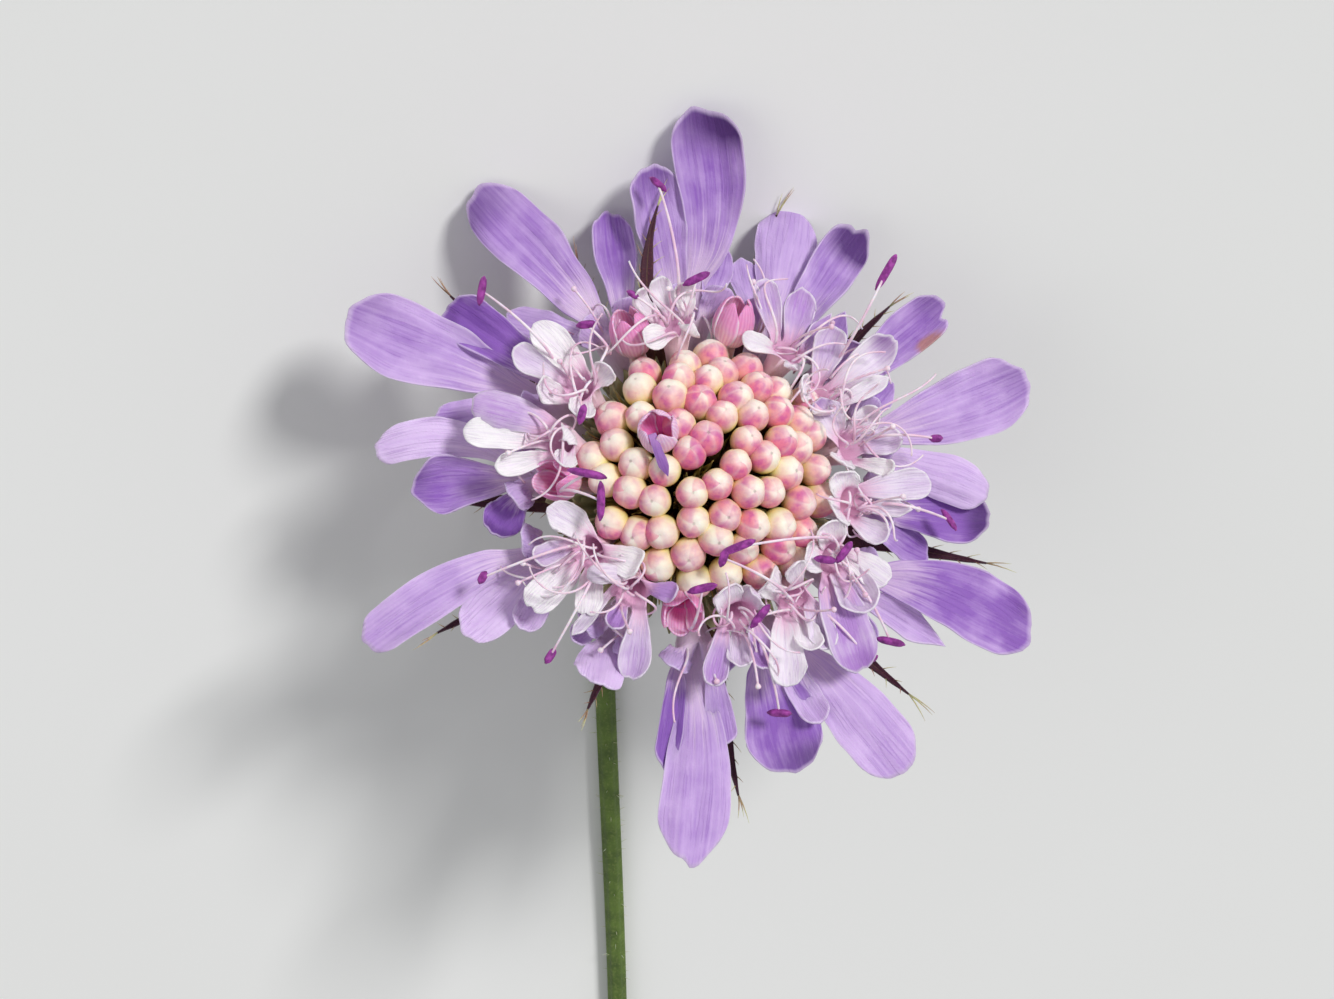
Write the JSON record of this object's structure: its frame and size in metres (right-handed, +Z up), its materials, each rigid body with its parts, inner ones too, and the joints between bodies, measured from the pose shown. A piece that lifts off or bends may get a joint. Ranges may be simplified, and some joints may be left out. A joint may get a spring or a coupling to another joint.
{
  "type": "scabiosa flower",
  "caption": "Picked scabiosa: a round lilac flower head with a dome of closed buds, lying on a table on its petal tips and its bare green stem.",
  "frame": {"origin": "middle of the flower's outline on the table it lies on, at the height of the table", "axes": "+Z up from the table, +Y from the stem's cut end towards the head, +X to the right as seen with the head away from the viewer"},
  "size_m": [0.0343, 0.091, 0.0239],
  "materials": {
    "stem": "matte",
    "cushion": "matte",
    "bud": "satin",
    "opening_bud": "satin",
    "ray_petal": "matte",
    "inner_petal": "matte",
    "bract": "matte"
  },
  "bodies": {
    "root": {"stem": "stem", "receptacle": "cushion", "bract_1": "bract", "bract_2": "bract", "bract_3": "bract", "bract_4": "bract", "bract_5": "bract", "bract_6": "bract", "bract_7": "bract", "bract_8": "bract", "bract_9": "bract", "bract_10": "bract", "inner_bract": "bract", "ray_floret_1": "ray_petal", "ray_floret_2": "ray_petal", "ray_floret_3": "ray_petal", "ray_floret_4": "ray_petal", "ray_floret_5": "ray_petal", "ray_floret_6": "ray_petal", "ray_floret_7": "ray_petal", "ray_floret_8": "ray_petal", "ray_floret_9": "ray_petal", "ray_floret_10": "ray_petal", "ray_floret_11": "ray_petal", "ray_floret_12": "ray_petal", "ray_floret_13": "ray_petal", "inner_floret_1": "inner_petal", "inner_floret_2": "inner_petal", "inner_floret_3": "inner_petal", "inner_floret_4": "inner_petal", "inner_floret_5": "inner_petal", "inner_floret_6": "inner_petal", "inner_floret_7": "inner_petal", "inner_floret_8": "inner_petal", "inner_floret_9": "inner_petal", "inner_floret_10": "inner_petal", "inner_floret_11": "inner_petal", "inner_floret_12": "inner_petal", "opening_bud_1": "opening_bud", "opening_bud_2": "opening_bud", "opening_bud_3": "opening_bud", "opening_bud_4": "opening_bud", "bud_row_1": "bud", "bud_row_2": "bud", "bud_row_3": "bud", "bud_row_4": "bud", "bud_row_5": "bud", "bud_row_6": "bud", "bud_row_7": "bud", "bud_row_8": "bud"}
  },
  "joints": []
}
